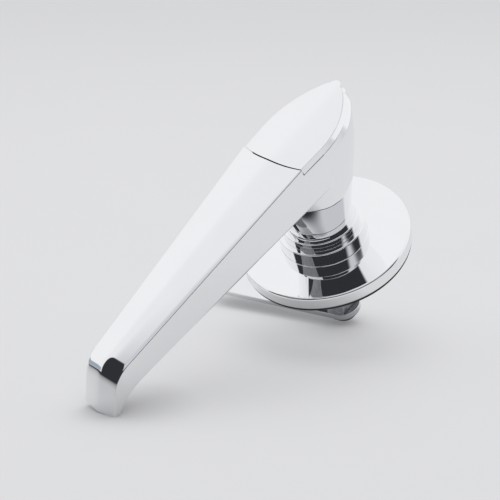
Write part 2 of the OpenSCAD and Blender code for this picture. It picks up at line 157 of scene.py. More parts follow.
class NodeSheet(NodeTree):
    """A material's node tree."""

    def __init__(self, name: str) -> None:
        """Starts an empty material.

        Args:
            name: The material's name.
        """
        self.material = bpy.data.materials.new(name)
        self.material.use_nodes = True
        super().__init__(self.material.node_tree, "Object")
        self.output = self.nodes.new("ShaderNodeOutputMaterial")
        self.shader = self.nodes.new("ShaderNodeBsdfPrincipled")
        self.links.new(self.shader.outputs["BSDF"], self.output.inputs["Surface"])

    def set(self, **values: float | Sequence[float]) -> None:
        """Sets the shader's own sockets.

        Args:
            **values: Socket names, with underscores for spaces, and their values.
        """
        for name, value in values.items():
            self.shader.inputs[name.replace("_", " ")].default_value = value

    def stretched(self, scale: Sequence[float]) -> bpy.types.NodeSocket:
        """Gives Object coordinates stretched along the axes.

        Args:
            scale: The factor for each axis.

        Returns:
            The mapped vector socket.
        """
        mapping = self.nodes.new("ShaderNodeMapping")
        mapping.inputs["Scale"].default_value = scale
        self.links.new(self.place, mapping.inputs["Vector"])
        return mapping.outputs["Vector"]

    def noise(self, scale: float, detail: float, vector: bpy.types.NodeSocket | None = None,
              distortion: float = 0.0) -> bpy.types.NodeSocket:
        """Adds a noise texture.

        Args:
            scale: Cells per metre.
            detail: Octaves.
            vector: Coordinates, or Object coordinates if left out.
            distortion: How much the noise is bent.

        Returns:
            The noise's grey output.
        """
        node = self.nodes.new("ShaderNodeTexNoise")
        node.inputs["Scale"].default_value = scale
        node.inputs["Detail"].default_value = detail
        node.inputs["Distortion"].default_value = distortion
        self.links.new(vector or self.place, node.inputs["Vector"])
        return node.outputs["Fac"]

    def bump(self, height: bpy.types.NodeSocket, depth: float, strength: float = 1.0) -> None:
        """Raises the surface with a height pattern.

        Args:
            height: The pattern.
            depth: Height of the pattern in metres.
            strength: How much of it to use.
        """
        node = self.nodes.new("ShaderNodeBump")
        node.inputs["Strength"].default_value = strength
        node.inputs["Distance"].default_value = depth
        self.links.new(height, node.inputs["Height"])
        self.links.new(node.outputs["Normal"], self.shader.inputs["Normal"])

    def feed(self, source: bpy.types.NodeSocket, socket: str) -> None:
        """Feeds a pattern to one of the shader's sockets."""
        self.links.new(source, self.shader.inputs[socket])


@dataclass(frozen=True)
class MirrorChrome:
    """Polished chrome plate: a mirror with faint wiping haze and the waviness left by buffing."""

    name: str = "mirror_chrome"
    tint: Colour = (0.93, 0.935, 0.945)
    shade: Colour = (0.90, 0.905, 0.915)
    haze_low: float = 0.018
    haze_high: float = 0.055
    wave_per_m: float = 55.0
    wave_depth: float = 2.0e-6
    cloud_per_m: float = 90.0
    wipe_per_m: float = 420.0
    wipe_way: tuple[float, float, float] = (0.22, 1.0, 1.0)

    def make(self) -> bpy.types.Material:
        """Makes the material."""
        sheet = NodeSheet(self.name)
        sheet.set(Metallic=1.0, Specular_IOR_Level=0.5)
        cloud = sheet.noise(self.cloud_per_m, 4.0)
        sheet.feed(sheet.blend(cloud, self.shade, self.tint), "Base Color")
        wipes = sheet.noise(self.wipe_per_m, 3.0, sheet.stretched(self.wipe_way), 0.4)
        sheet.feed(sheet.span(wipes, 0.45, 0.85, self.haze_low, self.haze_high), "Roughness")
        sheet.bump(sheet.noise(self.wave_per_m, 1.0), self.wave_depth)
        return sheet.material


@dataclass(frozen=True)
class PlatedSteel:
    """Zinc plated steel: a soft grey metal, grained one way and mottled by its passivation."""

    name: str = "zinc_steel"
    light: Colour = (0.66, 0.67, 0.69)
    dark: Colour = (0.47, 0.485, 0.51)
    rough_low: float = 0.24
    rough_high: float = 0.42
    grain: tuple[float, float, float] = (1.0, 0.08, 1.0)
    grain_depth: float = 4.0e-6
    grain_per_m: float = 5200.0
    mottle_per_m: float = 260.0

    def make(self) -> bpy.types.Material:
        """Makes the material."""
        sheet = NodeSheet(self.name)
        sheet.set(Metallic=1.0)
        mottle = sheet.span(sheet.noise(self.mottle_per_m, 5.0), 0.3, 0.7)
        sheet.feed(sheet.blend(mottle, self.dark, self.light), "Base Color")
        lines = sheet.noise(self.grain_per_m, 2.0, sheet.stretched(self.grain))
        sheet.feed(sheet.span(lines, 0.3, 0.75, self.rough_low, self.rough_high), "Roughness")
        sheet.bump(lines, self.grain_depth)
        return sheet.material


@dataclass(frozen=True)
class TurnedBrass:
    """Brass from the lathe: fine rings and a slight brown bloom."""

    name: str = "turned_brass"
    light: Colour = (0.83, 0.66, 0.36)
    dark: Colour = (0.62, 0.45, 0.21)
    bloom_per_m: float = 330.0
    ring_per_m: float = 6000.0
    ring_way: tuple[float, float, float] = (0.05, 1.0, 0.05)
    ring_depth: float = 3.0e-6

    def make(self) -> bpy.types.Material:
        """Makes the material."""
        sheet = NodeSheet(self.name)
        sheet.set(Metallic=1.0)
        bloom = sheet.span(sheet.noise(self.bloom_per_m, 5.0), 0.35, 0.75)
        sheet.feed(sheet.blend(bloom, self.light, self.dark), "Base Color")
        rings = sheet.noise(self.ring_per_m, 1.0, sheet.stretched(self.ring_way))
        sheet.feed(sheet.span(rings, 0.3, 0.7, 0.18, 0.34), "Roughness")
        sheet.bump(rings, self.ring_depth)
        return sheet.material


@dataclass(frozen=True)
class BlackRubber:
    """Moulded rubber: near black, matt, with a fine skin."""

    name: str = "black_rubber"
    light: Colour = (0.040, 0.041, 0.044)
    dark: Colour = (0.018, 0.018, 0.020)
    dust_per_m: float = 700.0
    skin_per_m: float = 5200.0
    skin_depth: float = 2.5e-5

    def make(self) -> bpy.types.Material:
        """Makes the material."""
        sheet = NodeSheet(self.name)
        sheet.set(Specular_IOR_Level=0.35)
        dust = sheet.span(sheet.noise(self.dust_per_m, 6.0), 0.4, 0.8)
        sheet.feed(sheet.blend(dust, self.dark, self.light), "Base Color")
        skin = sheet.noise(self.skin_per_m, 3.0)
        sheet.feed(sheet.span(skin, 0.3, 0.7, 0.55, 0.78), "Roughness")
        sheet.bump(skin, self.skin_depth, 0.6)
        return sheet.material


@dataclass(frozen=True)
class TableTop:
    """Pale glowing table, seen from above only; painted contact shade, and painted dark toward the room
    when mirrored.
    """

    paper: Colour
    reflected_shade_facing: Vector
    reflected_shade: Colour
    name: str = "table_top"
    # matt is the share of the table lit by the lamp; glow is painted light, an even emission that lifts
    # the table's shadows.
    matt: float = 0.27
    glow: float = 0.455
    # Painted shade for mirrored rays only: the table is darkened toward the front and in a pool round
    # its centre, under the rose.
    reflected_front_shade: tuple[float, float] = (0.079, 0.144)
    reflected_contact_shadow: tuple[float, float] = (0.025, 0.042)
    reflected_contact_shadow_share: float = 0.46
    # Painted contact shade: where ambient occlusion finds pieces within reach, the glow is cut down to
    # a share of it.
    painted_contact_shade: tuple[float, float] = (0.3, 0.92)
    painted_contact_shade_reach: float = 0.021
    painted_contact_shade_least: float = 0.4
    cloth_per_m: float = 14.0
    cloth_shade: float = 0.985
    fade: tuple[float, float] = (0.9, 2.6)

    def make(self) -> bpy.types.Material:
        """Makes the material."""
        sheet = NodeSheet(self.name)
        sheet.set(Specular_IOR_Level=0.0, Roughness=0.65)
        dark, light = (tuple(self.matt * step * part / self.paper[0] for part in self.paper)
                       for step in (self.cloth_shade, 1.0))
        cloth = sheet.blend(sheet.noise(self.cloth_per_m, 3.0), dark, light)
        # Painted contact shade: ambient occlusion cuts the glow where the pieces come near the table.
        contact_shade_ao = sheet.nodes.new("ShaderNodeAmbientOcclusion")
        contact_shade_ao.samples, contact_shade_ao.inputs["Distance"].default_value = 12, self.painted_contact_shade_reach
        full = self.glow / self.matt
        glow = sheet.span(contact_shade_ao.outputs["AO"], *self.painted_contact_shade, self.painted_contact_shade_least * full, full)
        for source, socket in ((cloth, "Base Color"), (cloth, "Emission Color"),
                               (glow, "Emission Strength")):
            sheet.feed(source, socket)
        # Painted shade in reflections: glossy rays see the table blend to a dark emission toward the
        # front and in a pool round its centre, under the rose's foot.
        length = sheet.nodes.new("ShaderNodeVectorMath")
        length.operation = "LENGTH"
        sheet.links.new(sheet.place, length.inputs[0])
        away = length.outputs["Value"]
        reflected_shade_share = sheet.both("MAXIMUM", sheet.span(sheet.toward(self.reflected_shade_facing), *self.reflected_front_shade),
                            sheet.span(away, *self.reflected_contact_shadow, self.reflected_contact_shadow_share, 0.0))
        mirrored = sheet.nodes.new("ShaderNodeLightPath").outputs["Is Glossy Ray"]
        below = sheet.nodes.new("ShaderNodeNewGeometry").outputs["Backfacing"]
        gone = sheet.both("MAXIMUM", below, sheet.span(away, *self.fade))
        reflected_shade = sheet.nodes.new("ShaderNodeEmission")
        reflected_shade.inputs["Color"].default_value = (*self.reflected_shade, 1.0)
        clear = sheet.nodes.new("ShaderNodeBsdfTransparent")
        lit = sheet.shader.outputs["BSDF"]
        # Mirrored rays take the painted shade; far off and from below, the table turns clear.
        for share, other in ((sheet.both("MULTIPLY", reflected_shade_share, mirrored), reflected_shade.outputs["Emission"]),
                             (gone, clear.outputs["BSDF"])):
            mix = sheet.nodes.new("ShaderNodeMixShader")
            for source, socket in ((share, 0), (lit, 1), (other, 2)):
                sheet.links.new(source, mix.inputs[socket])
            lit = mix.outputs["Shader"]
        sheet.links.new(lit, sheet.output.inputs["Surface"])
        return sheet.material


class Finishes:
    """Every finish of the handle, made once."""

    def __init__(self) -> None:
        """Makes the materials."""
        self.chrome = MirrorChrome().make()
        self.zinc = PlatedSteel().make()
        self.polished = MirrorChrome("polished_steel", (0.88, 0.885, 0.895), (0.82, 0.825, 0.84),
                                     0.04, 0.11, 90.0, 3.0e-6).make()
        self.spring = PlatedSteel("spring_steel", (0.40, 0.41, 0.44), (0.24, 0.245, 0.27),
                                  0.2, 0.36).make()
        self.nickel = PlatedSteel("satin_nickel", (0.76, 0.74, 0.70), (0.64, 0.62, 0.58),
                                  0.26, 0.40, (1.0, 1.0, 0.1)).make()
        self.black = PlatedSteel("black_oxide", (0.10, 0.10, 0.105), (0.045, 0.045, 0.05),
                                 0.30, 0.5).make()
        self.cast = PlatedSteel("cast_underside", (0.37, 0.375, 0.39), (0.28, 0.285, 0.30),
                                0.42, 0.6, (1.0, 1.0, 1.0)).make()
        self.brass = TurnedBrass().make()
        self.rubber = BlackRubber().make()


# ---------------------------------------------------------------- outlines

def rounded(corners: Sequence[tuple[float, float, float]], steps: int = 4) -> list[Point2]:
    """Rounds the corners of an open outline.

    Args:
        corners: Points as (x, y, reach of the rounding), where the first and last aren't rounded.
        steps: Chords in each rounding.

    Returns:
        The outline's points, with steps + 1 for each inner corner.
    """
    out = [corners[0][:2]]
    for before, here, after in zip(corners, corners[1:], corners[2:]):
        point = Vector(here[:2])
        into, away = Vector(before[:2]) - point, Vector(after[:2]) - point
        reach = min(here[2], 0.48 * into.length, 0.48 * away.length)
        start, end = point + into.normalized() * reach, point + away.normalized() * reach
        for i in range(steps + 1):
            t = i / steps
            bend = start * (1 - t) ** 2 + point * 2 * t * (1 - t) + end * t * t
            out.append((bend.x, bend.y))
    out.append(corners[-1][:2])
    return out


def mirrored(half: Sequence[Point2]) -> list[Point2]:
    """Closes a half outline that starts and ends on the line of symmetry with its mirror image."""
    return list(half) + [(-x, y) for x, y in reversed(half[1:-1])]


def square(side: float) -> list[Point2]:
    """Gives a sharp square."""
    half = side / 2
    return [(-half, -half), (half, -half), (half, half), (-half, half)]


def spaced(low: float, high: float, count: int, crowd: float = 1.0) -> list[float]:
    """Gives count + 1 numbers from low to high, crowded toward low where crowd is over 1."""
    return [low + (high - low) * (i / count) ** crowd for i in range(count + 1)]


# ---------------------------------------------------------------- bench

class Bench:
    """The hand tools. Pieces are shaped lying down in millimetres and stood up when they are done."""

    @staticmethod
    def pick(*pieces: bpy.types.Object) -> None:
        """Selects only these pieces, the first of them active."""
        bpy.ops.object.select_all(action="DESELECT")
        for piece in pieces:
            piece.select_set(True)
        if pieces:
            bpy.context.view_layer.objects.active = pieces[0]

    @staticmethod
    def loft(name: str, rings: Sequence[Ring], closed_ends: bool = True) -> bpy.types.Object:
        """Extrudes the rim of a circle ring by ring, and sets each new rim to its outline.

        Args:
            name: The piece's name.
            rings: Outlines with the same number of points each.
            closed_ends: True for an end face on the first and last rings, False to bridge the last
                ring back to the first, as on a tube with a bore.

        Returns:
            The new piece.
        """
        Bench.pick()
        bpy.ops.mesh.primitive_circle_add(vertices=len(rings[0]), radius=1.0,
                                          fill_type="NGON" if closed_ends else "NOTHING")
        piece = bpy.context.object
        piece.name = piece.data.name = name
        bpy.ops.object.mode_set(mode="EDIT")
        bpy.ops.mesh.select_mode(type="EDGE")
        mesh = bmesh.from_edit_mesh(piece.data)
        place = mesh.verts.layers.int.new("place")
        for index, vert in enumerate(mesh.verts):
            vert[place] = index
            vert.co = rings[0][index]
        for face in mesh.faces:
            face.select = False
        for edge in mesh.edges:
            edge.select = True
        bmesh.update_edit_mesh(piece.data)
        for ring in rings[1:]:
            bpy.ops.mesh.extrude_edges_indiv()
            mesh = bmesh.from_edit_mesh(piece.data)
            place = mesh.verts.layers.int["place"]
            for vert in (v for v in mesh.verts if v.select):
                vert.co = ring[vert[place]]
            bmesh.update_edit_mesh(piece.data)
        if closed_ends:
            bpy.ops.mesh.edge_face_add()
        else:
            mesh = bmesh.from_edit_mesh(piece.data)
            for edge in mesh.edges:
                edge.select = edge.is_boundary
            bmesh.update_edit_mesh(piece.data)
            bpy.ops.mesh.bridge_edge_loops()
        bpy.ops.mesh.select_all(action="SELECT")
        bpy.ops.mesh.normals_make_consistent(inside=False)
        bpy.ops.object.mode_set(mode="OBJECT")
        return piece

    @staticmethod
    def turn(name: str, outline: Sequence[Point2], bored: bool = True, sides: int = 192,
             lift: Callable[[Vector], Vector] = Vector) -> bpy.types.Object:
        """Turns an outline about the spindle's line, as on a lathe.

        Args:
            name: The piece's name.
            outline: Points as (radius, height).
            bored: True if the outline closes on itself round a bore.
            sides: Facets round the piece.
            lift: What places each point, if the piece isn't on the spindle's line.

        Returns:
            The new piece.
        """
        def ring(radius: float, height: float) -> Ring:
            turns = (2 * math.pi * i / sides for i in range(sides))
            return [lift(Vector((radius * math.cos(a), radius * math.sin(a), height))) for a in turns]

        return Bench.loft(name, [ring(r, h) for r, h in outline], closed_ends=not bored)

    @staticmethod
    def bar(name: str, outline: Sequence[Point2], levels: Sequence[tuple[float, float]],
            lift: Callable[[Vector], Vector] = Vector) -> bpy.types.Object:
        """Extrudes a flat outline up through its levels.

        Args:
            name: The piece's name.
            outline: Points of the outline.
            levels: Pairs of a height and how much the outline is drawn in there.
            lift: What places each point.

        Returns:
            The new piece.
        """
        def drawn_in(inset: float) -> list[Point2]:
            count = len(outline)
            out = []
            for i, here in enumerate(outline):
                along = Vector(outline[(i + 1) % count]) - Vector(outline[i - 1])
                normal = Vector((along.y, -along.x)).normalized()
                out.append((here[0] - normal.x * inset, here[1] - normal.y * inset))
            return out

        rings = [[lift(Vector((x, y, height))) for x, y in drawn_in(inset)] for height, inset in levels]
        return Bench.loft(name, rings)

    @staticmethod
    def combine(piece: bpy.types.Object, other: bpy.types.Object, how: str = "DIFFERENCE") -> None:
        """Adds another solid to a piece, or cuts it away, and throws the other away.

        Args:
            piece: The piece that stays.
            other: The solid that is used up.
            how: DIFFERENCE, UNION or INTERSECT.
        """
        Bench.pick(piece)
        bpy.ops.object.modifier_add(type="BOOLEAN")
        tool = piece.modifiers[-1]
        tool.object, tool.operation, tool.solver = other, how, "EXACT"
        bpy.ops.object.modifier_apply(modifier=tool.name)
        bpy.data.objects.remove(other, do_unlink=True)

    @staticmethod
    def stand_up(piece: bpy.types.Object, sharp: float = 34.0) -> bpy.types.Object:
        """Stands a finished piece up at its real size and smooths its round faces.

        Args:
            piece: The piece, lying down in millimetres.
            sharp: Edges over this angle stay sharp, in degrees.

        Returns:
            The same piece.
        """
        piece.data.transform(OUT_OF_DOOR @ Matrix.Scale(MM, 4))
        Bench.pick(piece)
        bpy.ops.object.shade_smooth_by_angle(angle=math.radians(sharp))
        bpy.ops.object.modifier_add(type="WEIGHTED_NORMAL")
        weigh = piece.modifiers[-1]
        weigh.keep_sharp, weigh.mode, weigh.weight = True, "FACE_AREA", 100
        bpy.ops.object.modifier_apply(modifier=weigh.name)
        return piece


def dress(piece: bpy.types.Object, finish: bpy.types.Material, body: Body, node: str,
          second: bpy.types.Material | None = None) -> None:
    """Gives a piece its finish and lets it stand for its CAD node.

    Args:
        piece: The piece.
        finish: Its material.
        body: The body it moves with.
        node: The CAD node that it replaces.
        second: The material of the faces in its second slot, if it has one.
    """
    if second is None:
        piece.data.materials.clear()
        piece.data.materials.append(finish)
    else:
        piece.material_slots[0].material = finish
        piece.material_slots[1].material = second
    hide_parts(node)
    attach(piece, body.value)
    log.info("%s: %d faces", piece.name, len(piece.data.polygons))


SLOTS: dict[str, str] = {part["node"]: part["material_slot"] for part in frame["record"]["subparts"]}


# ---------------------------------------------------------------- rose

@dataclass
class Rose:
    """The round rose, its boss and the gasket that it stands on."""

    radius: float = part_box("rose_cover")[1].x / MM
    boss_top: float = -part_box("rose_cover")[0].y / MM
    face: float = 5.5
    wall: float = 1.6
    boss_radius: float = 14.0
    bush_radius: float = 9.71
    gasket_height: float = -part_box("rose_gasket")[0].y / MM
    gasket_radius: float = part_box("rose_gasket")[1].x / MM
    gasket_bore: float = 23.4
    rim_round: float = 0.8
    boss_round: float = 0.45
    foot_round: float = 0.65

    def build_cover(self) -> bpy.types.Object:
        """Turns the rose's pressing with its rounded rim and boss."""
        ceiling, web = self.face - self.wall, self.boss_top - self.wall
        hollow, boss_hollow = self.radius - self.wall, self.boss_radius - self.wall
        outline = rounded([
            (self.bush_radius, self.boss_top, 0),
            (self.boss_radius, self.boss_top, self.boss_round),
            (self.boss_radius, self.face, 0.25),
            (self.radius, self.face, self.rim_round),
            (self.radius, self.gasket_height, self.foot_round),
            (hollow, self.gasket_height, 0.2),
            (hollow, ceiling, 0.4),
            (boss_hollow, ceiling, 0.4),
            (boss_hollow, web, 0.4),
            (self.bush_radius, web, 0)], 5)
        return Bench.stand_up(Bench.turn("rose", outline, sides=256))

    def build_gasket(self) -> bpy.types.Object:
        """Turns the gasket, a flat rubber ring with soft edges."""
        soft = 0.25
        outline = rounded([
            (self.gasket_bore, self.gasket_height / 2, 0),
            (self.gasket_bore, self.gasket_height, soft),
            (self.gasket_radius, self.gasket_height, soft),
            (self.gasket_radius, 0, soft),
            (self.gasket_bore, 0, soft),
            (self.gasket_bore, self.gasket_height / 2 - 0.01, 0)], 3)
        return Bench.stand_up(Bench.turn("foot_gasket", outline))

    def build(self, finishes: Finishes) -> None:
        """Makes and dresses the rose's pieces."""
        dress(self.build_cover(), finishes.chrome, Body.ROSE, "rose_cover")
        dress(self.build_gasket(), finishes.rubber, Body.ROSE, "rose_gasket")


# ---------------------------------------------------------------- lever

@dataclass
class LeverShape:
    """Sizes that the lever and its cover share, in millimetres and degrees, lying down."""

    reach: float = 96.0
    head_reach: float = 22.1
    root_width: float = 22.0
    tip_width: float = 12.7
    ridge: float = 51.7
    ridge_fall: float = 0.2
    under: float = 33.3
    under_fall: float = 0.105
    roof_rise: float = 0.19
    seam_at: float = 12.8
    seam_radius: float = 30.6
    seam_gap: float = 0.4
    cover_height: float = 4.2
    tilt: float = 6.1
    ogive_radius: float = 30.0
    head_width: float = 22.8
    cover_bevel: float = 0.9
    bevel_height: float = 2.0
    ridge_soft_root: float = 2.4
    ridge_soft_tip: float = 0.7
    pin_radius: float = 1.5

    def __post_init__(self) -> None:
        """Works out the sizes that follow from the others."""
        self.fall = math.tan(math.radians(self.tilt))
        self.pin_at = self.seam_at - self.seam_radius
        self.seat_axis = (self.ridge - self.ridge_fall * self.seam_at - self.cover_height
                          + self.fall * self.seam_at)
        self.seat_pin = self.seat_axis - self.fall * self.pin_at
        self.ogive_centre = self.ogive_radius - self.head_width / 2
        self.ogive_at = math.sqrt(self.ogive_radius ** 2 - self.ogive_centre ** 2) - self.head_reach
        turn = Matrix.Rotation(math.radians(self.tilt), 4, "Y")
        self.from_pin = Matrix.Translation((self.pin_at, 0, self.seat_pin)) @ turn

    def seat(self, along: float) -> float:
        """Height of the plane that the cover lies on."""
        return self.seat_axis - self.fall * along

    def softness(self, along: float) -> float:
        """How far from the ridge its rounding reaches."""
        share = min(1.0, max(0.0, along - self.seam_at) / (self.reach - self.seam_at))
        return self.ridge_soft_root + (self.ridge_soft_tip - self.ridge_soft_root) * share

    def roof_drop(self, across: float, soft: float) -> float:
        """Drop of the roof's face at a distance from its ridge."""
        return self.roof_rise * (math.hypot(across, soft) - soft / 2)

    def roof(self, half: float, soft: float) -> list[Point2]:
        """Points of half the roof as (distance from the ridge, drop), without its edge."""
        return [(v, self.roof_drop(v, soft)) for v in spaced(0, half, 11, 1.5)[:-1]]

    def lift(self, point: Vector) -> Vector:
        """Places a point that is given in the frame of the cover's pin."""
        return self.from_pin @ point


@dataclass
class Lever:
    """The lever with its head, neck and journal, and the ring under the neck."""

    shape: LeverShape
    nose_radius: float = 9.0
    nose_angle: float = 62.0
    lip_length: float = 10.0
    lip_thick: float = 3.9
    lip_lean: float = 18.0
    knee_back: float = 4.0
    knee_in: float = 3.8
    edge_out: float = 0.4
    edge_down: float = 0.62
    under_round: float = 1.2
    root_at: float = -4.0
    root_inset: float = 0.035
    neck_radius: float = 10.25
    neck_foot: float = 13.6
    journal_radius: float = 8.0
    journal_end: float = 0.1
    rim_height: float = 2.6
    rim_out: float = 0.9
    head_tail: float = 15.0
    head_points: int = 180
    point_soft: float = 0.045
    ring_radius: float = 12.3
    ring_foot: float = 10.55
    well_floor: float = 17.5
    barrel_radius: float = 6.5
    flange_radius: float = 8.5
    flange_height: float = 1.6
    socket: float = 8.1
    socket_top: float = 15.0
    cast_from: float = 30.0
    cast_near: float = 1.5
    cast_slope: float = -0.6
    flare_tuck: float = 0.35

    def __post_init__(self) -> None:
        """Works out the nose's place and the way that the sides taper."""
        shape = self.shape
        self.nose_start = math.atan(shape.ridge_fall)
        self.nose_end = math.radians(self.nose_angle)
        bend = self.nose_radius * (math.sin(self.nose_end) - math.sin(self.nose_start))
        self.nose_at = shape.reach - self.lip_length * math.cos(self.nose_end) - bend
        self.taper = (shape.root_width - shape.tip_width) / 2 / (self.nose_at - shape.seam_at)
        self.join_at = shape.ogive_at + shape.ogive_radius * math.sin(math.atan(self.taper))

    def half_width(self, along: float) -> float:
        """Half the width of the lever's top, tucked in where it enters the head."""
        straight = (self.shape.root_width / 2
                    - (max(along, self.join_at) - self.shape.seam_at) * self.taper)
        return straight - self.root_inset * max(0.0, self.join_at - along) ** 2

    def ridge_point(self, along: float) -> Vector:
        """A point of the straight ridge."""
        return Vector((along, self.shape.ridge - self.shape.ridge_fall * along))

    def under_point(self, along: float) -> Vector:
        """A point of the straight underside."""
        return Vector((along, self.shape.under - self.shape.under_fall * along))

    def nose_point(self, angle: float) -> Vector:
        """A point of the ridge on the nose's arc."""
        turned = Vector((math.sin(angle) - math.sin(self.nose_start),
                         math.cos(angle) - math.cos(self.nose_start)))
        return self.ridge_point(self.nose_at) + self.nose_radius * turned

    def stations(self) -> Iterable[tuple[Vector, Vector, float, float]]:
        """Gives each section's ridge point, underside point, half width and place along."""
        for along in [self.root_at, -2.0, 0.0, 2.0, *spaced(self.join_at, self.nose_at, 24)]:
            back = along - self.knee_back * max(0.0, along) / self.nose_at
            yield self.ridge_point(along), self.under_point(back), self.half_width(along), along
        front = Vector((math.cos(self.nose_end), -math.sin(self.nose_end)))
        lean = math.radians(self.lip_lean)
        end = self.nose_point(self.nose_end) + self.lip_length * front
        inner = end - self.lip_thick * Vector((math.cos(lean), math.sin(lean)))
        start = self.under_point(self.nose_at - self.knee_back)
        knee = self.under_point(inner.x - self.knee_in)
        arc_steps, lip_steps, arc_share = 30, 10, 0.625
        for i in range(1, arc_steps + lip_steps + 1):
            if i <= arc_steps:
                share = arc_share * i / arc_steps
                turned = (self.nose_end - self.nose_start) * i / arc_steps
                top = self.nose_point(self.nose_start + turned)
            else:
                run = (i - arc_steps) / lip_steps
                share = arc_share + (1 - arc_share) * run
                top = self.nose_point(self.nose_end) + self.lip_length * run * front
            low = start * (1 - share) ** 2 + knee * 2 * share * (1 - share) + inner * share ** 2
            yield top, low, self.half_width(min(top.x, self.nose_at + 6)), top.x

    def bar_ring(self, top: Vector, low: Vector, half: float, along: float) -> Ring:
        """Gives one section of the lever.

        Args:
            top: Its ridge point, as (along, height).
            low: Its underside point.
            half: Half the width of its top.
            along: Its place along the lever.

        Returns:
            The section's points, in order round it.
        """
        depth, soft = (low - top).length, self.shape.softness(along)
        down = (low - top) / depth
        side, edge = half + self.edge_out, self.shape.roof_drop(half, soft)
        outline = self.shape.roof(half, soft) + rounded([
            (half, edge, 0), (side, edge + 0.3 * self.edge_down, self.edge_down),
            (side, depth, self.under_round), (0, depth, 0)], 5)
        return [Vector((top.x + down.x * d, v, top.y + down.y * d)) for v, d in mirrored(outline)]

    def outline_reach(self, angle: float) -> float:
        """Distance from the spindle's line to the head's outline, at an angle from its point."""
        shape = self.shape
        side = math.hypot(math.sin(angle), self.point_soft)
        way = Vector((-math.cos(angle), side)).normalized()
        centre = Vector((shape.ogive_at, -shape.ogive_centre))
        along = way.dot(centre)
        return along + math.sqrt(along ** 2 - centre.dot(centre) + shape.ogive_radius ** 2)

    def head_outline(self, angle: float) -> float:
        """The head's outline: pointed at the back and an ellipse toward the lever."""
        if math.cos(angle) > 0:
            return self.outline_reach(angle)
        across = self.outline_reach(math.pi / 2)
        return 1 / math.hypot(math.cos(angle) / self.head_tail, math.sin(angle) / across)

    def head_ring(self, share: float, extra: float = 0.0, drop: float | None = None,
                  inward: float = 0.0) -> Ring:
        """Gives one level of the head, from the round neck to the pointed rim.

        Args:
            share: 0 at the neck and 1 at the rim.
            extra: Height added.
            drop: How far under the cover's plane the rim lies.
            inward: How much of the rim's overhang is drawn in, from 0 to 1.

        Returns:
            The level's points.
        """
        drop = self.rim_height if drop is None else drop
        swell = math.sin(math.pi / 2 * share)
        ring = []
        for i in range(self.head_points):
            angle = 2 * math.pi * i / self.head_points
            back = max(0.0, math.cos(angle))
            out = (self.shape.cover_bevel - self.flare_tuck * (1 - back)
                   + self.rim_out * back * (1 - inward))
            radius = (1 - swell) * self.neck_radius + swell * (self.head_outline(angle) + out)
            along = -radius * math.cos(angle)
            height = self.neck_foot + share * (self.shape.seat(along) - drop - self.neck_foot)
            ring.append(Vector((along, radius * math.sin(angle), height + extra)))
        return ring

    def journal_ring(self, radius: float, height: float) -> Ring:
        """Gives a round level of the journal."""
        turns = (2 * math.pi * i / self.head_points for i in range(self.head_points))
        return [Vector((-radius * math.cos(a), radius * math.sin(a), height)) for a in turns]

    def build_head(self) -> bpy.types.Object:
        """Lofts the journal, the neck and the flare up to its rim."""
        soft = 0.35
        rings = [self.journal_ring(self.journal_radius - 0.3, self.journal_end),
                 self.journal_ring(self.journal_radius, self.journal_end + 0.3),
                 self.journal_ring(self.journal_radius, self.neck_foot),
                 self.journal_ring(self.neck_radius - 0.2, self.neck_foot),
                 self.journal_ring(self.neck_radius, self.neck_foot + 0.2)]
        rings += [self.head_ring(share) for share in spaced(0.02, 0.985, 34)]
        rings += [self.head_ring(1.0, inward=0.02), self.head_ring(1.0, soft, inward=0.12)]
        rings += [self.head_ring(1.0, drop=0.0, inward=1.0), self.head_ring(1.0, 1.5, 0.0, 1.0)]
        return Bench.loft("lever", rings)

    def cut_sockets(self, piece: bpy.types.Object) -> None:
        """Cuts the cover's pocket and pin hole, the lock's well and the spindle's socket."""
        shape, lift = self.shape, self.shape.lift
        gap, high = 0.03, 30.0
        pocket = Bench.turn("pocket", [(shape.seam_radius + shape.seam_gap, 0),
                                       (shape.seam_radius + shape.seam_gap, high)],
                            bored=False, sides=720, lift=lift)
        Bench.combine(piece, pocket)
        face = shape.seat(self.flange_radius) - 0.3 - self.flange_height
        steps = [(self.barrel_radius + gap, self.well_floor), (self.barrel_radius + gap, face),
                 (self.flange_radius + gap, face), (self.flange_radius + gap, face + 10)]
        Bench.combine(piece, Bench.turn("well", steps, bored=False, sides=96))
        pin = [(shape.pin_radius + gap, -6), (shape.pin_radius + gap, -0.4),
               (shape.pin_radius + 0.9, -0.4), (shape.pin_radius + 0.9, 5)]
        Bench.combine(piece, Bench.turn("pin_hole", pin, bored=False, sides=48, lift=lift))
        Bench.combine(piece, Bench.bar("socket", square(self.socket), [(-1, 0), (self.socket_top, 0)]))

    def build_lever(self) -> bpy.types.Object:
        """Joins the long bar to the head, cuts it and breaks its edges."""
        piece = self.build_head()
        bar = Bench.loft("bar", [self.bar_ring(*station) for station in self.stations()])
        Bench.combine(piece, bar, "UNION")
        self.cut_sockets(piece)
        self.mark_underside(piece)
        return Bench.stand_up(piece)

    def mark_underside(self, piece: bpy.types.Object) -> None:
        """Puts the bar's underside, which is left as cast, in the piece's second material slot."""
        Bench.pick(piece)
        piece.data.materials.clear()
        for _ in range(2):
            bpy.ops.object.material_slot_add()
        bpy.ops.object.mode_set(mode="EDIT")
        mesh = bmesh.from_edit_mesh(piece.data)
        for face in mesh.faces:
            middle = face.calc_center_median()
            near_low = middle.z < self.under_point(middle.x).y + self.cast_near
            looks_down = face.normal.z < self.cast_slope
            face.select = bool(looks_down and near_low and middle.x > self.cast_from)
        bmesh.update_edit_mesh(piece.data)
        piece.active_material_index = 1
        bpy.ops.object.material_slot_assign()
        bpy.ops.object.mode_set(mode="OBJECT")

